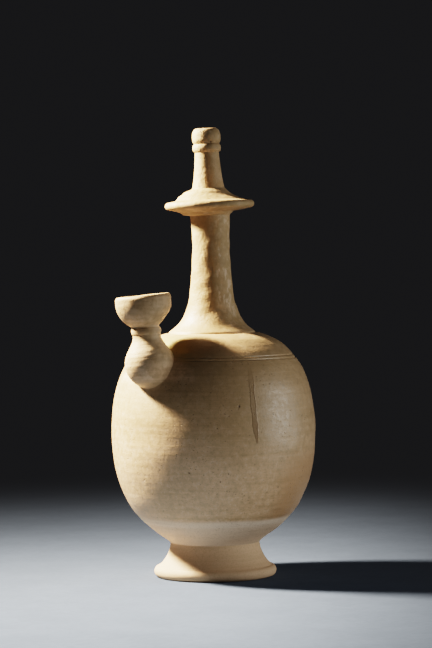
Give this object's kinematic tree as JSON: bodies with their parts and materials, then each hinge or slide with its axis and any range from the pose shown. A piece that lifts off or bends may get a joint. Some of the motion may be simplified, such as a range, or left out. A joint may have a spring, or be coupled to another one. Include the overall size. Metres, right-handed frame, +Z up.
{
  "type": "kundika",
  "caption": "White-glazed ceramic kundika, a ritual water sprinkler with a slim drinking tube, a disc flange and a cupped filling spout.",
  "frame": {"origin": "centre of the foot's flat underside, on the axis of the body", "axes": "+Z up along the body's axis, -X towards the filling spout"},
  "size_m": [0.1308, 0.1186, 0.2609],
  "materials": {
    "cream_glaze": "glossy, thin and slightly worn"
  },
  "bodies": {
    "root": {"kundika": "cream_glaze"}
  },
  "joints": []
}
